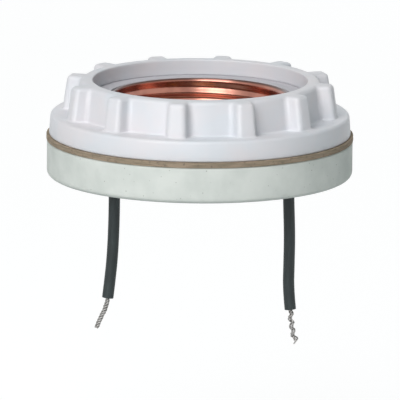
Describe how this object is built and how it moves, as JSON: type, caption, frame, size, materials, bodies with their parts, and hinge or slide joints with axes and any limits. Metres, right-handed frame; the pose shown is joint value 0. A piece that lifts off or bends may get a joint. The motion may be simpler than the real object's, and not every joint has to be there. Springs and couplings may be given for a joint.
{
  "type": "lamp holder",
  "caption": "Two-piece porcelain screw lamp holder for panel mounting: glazed castellated clamp ring on an unglazed base, gasket, copper screw shell and two short leads",
  "frame": {"origin": "on the holder's axis, in the plane of the base flange that the panel lies on, at the foot of the neck's collar", "axes": "+Z out of the lamp's mouth, along the axis; X through the two leads, the neutral lead on -X and the line lead on +X"},
  "size_m": [0.0702, 0.0702, 0.0619],
  "materials": {
    "unglazed_porcelain": "fired bare, matt and slightly gritty, with fine dark specks",
    "glazed_porcelain": "smooth white glaze",
    "gasket_board": "brown fibre gasket sheet",
    "copper": "bright drawn copper, slightly dulled",
    "phosphor_bronze": "rolled spring strip",
    "nickel_silver": "plain turned contact metal",
    "brass": "turned brass screws and nuts",
    "tinned_brass": "stamped and tinned",
    "tinned_copper": "tinned strands, dull",
    "lead_insulation": "dark slate extruded insulation",
    "sealing_compound": "poured black compound"
  },
  "bodies": {
    "base": {"porcelain_base": "unglazed_porcelain", "screw_shell": "copper", "centre_contact": "phosphor_bronze", "contact_screw": "brass", "contact_nut": "brass", "neutral_screw": "brass", "neutral_nut": "brass", "shell_screw": "brass", "shell_screw_nut": "brass", "shell_screw_washer": "brass", "neutral_lug": "tinned_brass", "neutral_conductor": "tinned_copper", "line_lug": "tinned_brass", "line_conductor": "tinned_copper", "left_lead": "lead_insulation", "right_lead": "lead_insulation", "left_bare_end": "tinned_copper", "right_bare_end": "tinned_copper", "sealing_compound": "sealing_compound"},
    "gasket": {"gasket": "gasket_board"},
    "ring": {"clamp_ring": "glazed_porcelain"},
    "contact": {"contact_button": "nickel_silver"}
  },
  "joints": [
    {"name": "ring_lift", "type": "slide", "parent": "base", "child": "gasket", "axis": [0, 0, 1], "range_m": [0, 0.0072]},
    {"name": "ring_turn", "type": "hinge", "parent": "gasket", "child": "ring", "pos_m": [0, 0, 0], "axis": [0, 0, 1], "range_deg": [0, 810]},
    {"name": "contact_press", "type": "slide", "parent": "base", "child": "contact", "axis": [0, 0, -1], "range_m": [0, 0.0015], "stiffness_N_per_m": 20, "deforming": ["centre_contact"]}
  ],
  "couplings": [
    {"joint": "ring_turn", "follows": "ring_lift", "rad_per_m": 1963.5}
  ]
}
